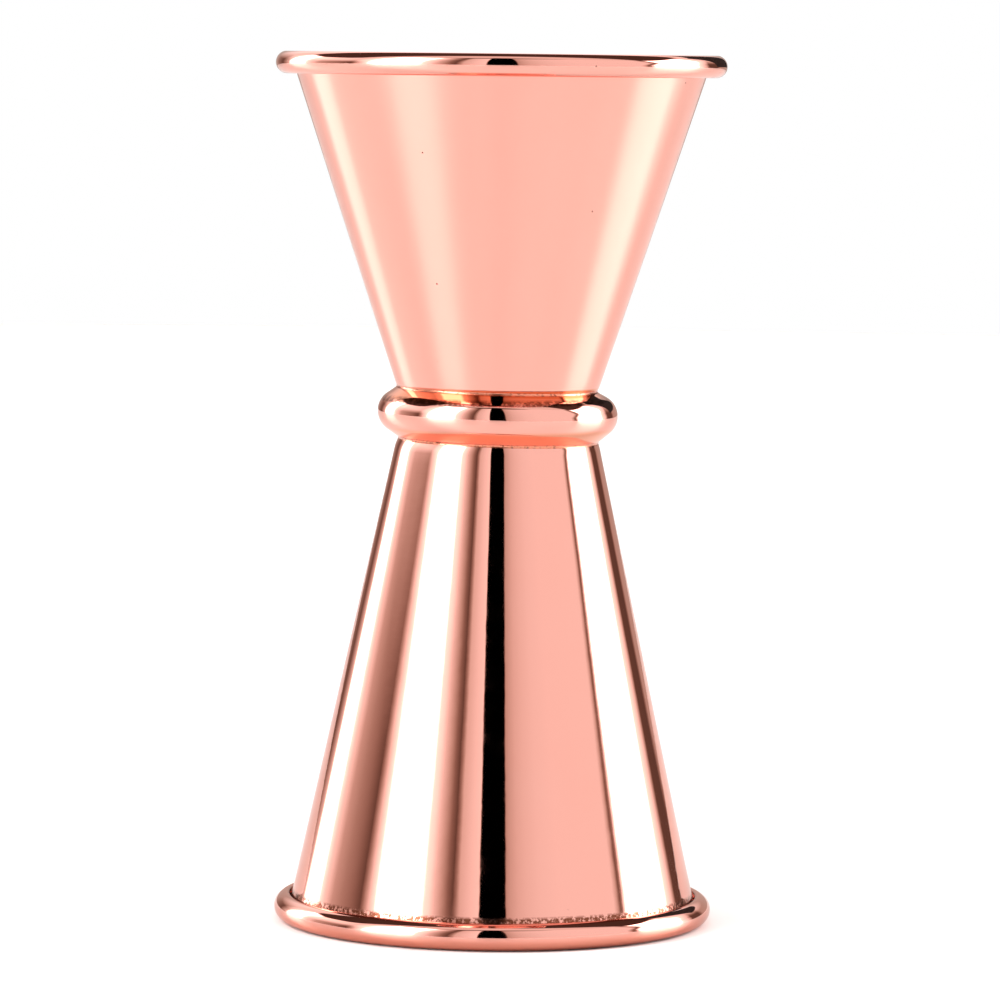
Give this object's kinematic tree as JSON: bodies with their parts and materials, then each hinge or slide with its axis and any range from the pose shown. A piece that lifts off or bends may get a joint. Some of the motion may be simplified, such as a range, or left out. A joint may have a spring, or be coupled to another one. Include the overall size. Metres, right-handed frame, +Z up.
{
  "type": "bar jigger",
  "caption": "Double-ended bar jigger: two conical mirror-polished copper-plated measuring cups back to back, with curled rims and a rolled collar round the waist.",
  "frame": {"origin": "centre of the lower rim's resting plane, on the axis of revolution, at the surface that the jigger stands on", "axes": "+Z up along the axis of revolution from the larger, lower cup to the smaller, upper cup; +X to the right and +Y away as seen from the front; the part is round, so X and Y are equivalent apart from the four hidden spot welds"},
  "size_m": [0.0542, 0.0542, 0.1048],
  "materials": {
    "cup_plating": "mirror-polished bright copper plate over stainless steel sheet",
    "collar_plating": "mirror-polished bright copper plate over stainless steel sheet",
    "plated_solder": "copper plate over solder, slightly duller in the crease",
    "weld_steel": "bare fused steel, hidden between the floors"
  },
  "bodies": {
    "root": {"upper_cup": "cup_plating", "lower_cup": "cup_plating", "waist_collar": "collar_plating", "weld_nuggets": "weld_steel", "solder_fillet_upper": "plated_solder", "solder_fillet_lower": "plated_solder"}
  },
  "joints": []
}
